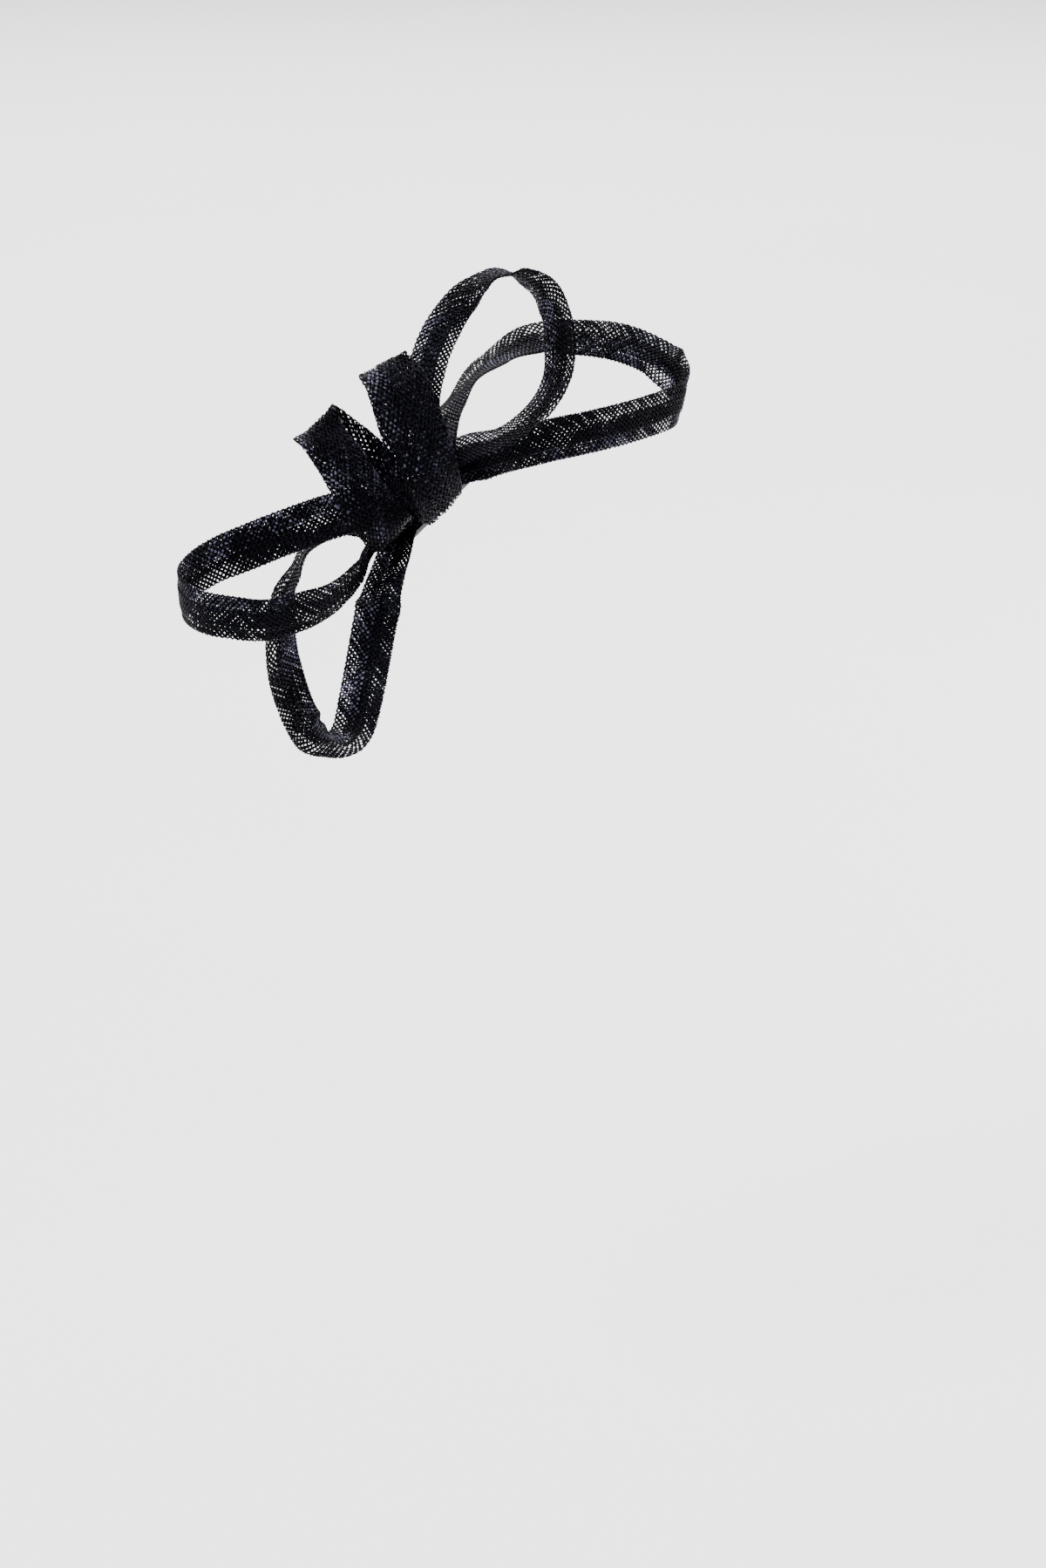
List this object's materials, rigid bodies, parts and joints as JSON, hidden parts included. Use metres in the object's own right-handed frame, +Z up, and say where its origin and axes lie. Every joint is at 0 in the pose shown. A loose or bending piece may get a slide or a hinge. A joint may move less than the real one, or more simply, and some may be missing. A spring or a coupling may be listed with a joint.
{
  "type": "looped net bow fascinator",
  "caption": "Bow fascinator of bias net bands: long open loops to each side, short upright loops over a bound knot, on a flat hair clip.",
  "frame": {"origin": "the middle of the clip's underside, where the bow sits on the side of the head", "axes": "+Z up as worn, +X to the right across the front view, +Y away from the viewer"},
  "size_m": [0.1534, 0.1104, 0.1452],
  "materials": {
    "net_top": "open bias net with a soft fibre sheen",
    "net_right": "open bias net with a soft fibre sheen",
    "net_left": "open bias net with a soft fibre sheen",
    "net_lower": "open bias net with a soft fibre sheen",
    "net_ear_left": "open bias net with a soft fibre sheen",
    "net_ear_right": "open bias net with a soft fibre sheen",
    "net_wrap": "open bias net with a soft fibre sheen",
    "clip_metal": "satin black"
  },
  "bodies": {
    "root": {"loop_top": "net_top", "loop_right": "net_right", "loop_left": "net_left", "loop_lower": "net_lower", "ear_left": "net_ear_left", "ear_right": "net_ear_right", "knot_wrap": "net_wrap", "hair_clip": "clip_metal"}
  },
  "joints": []
}
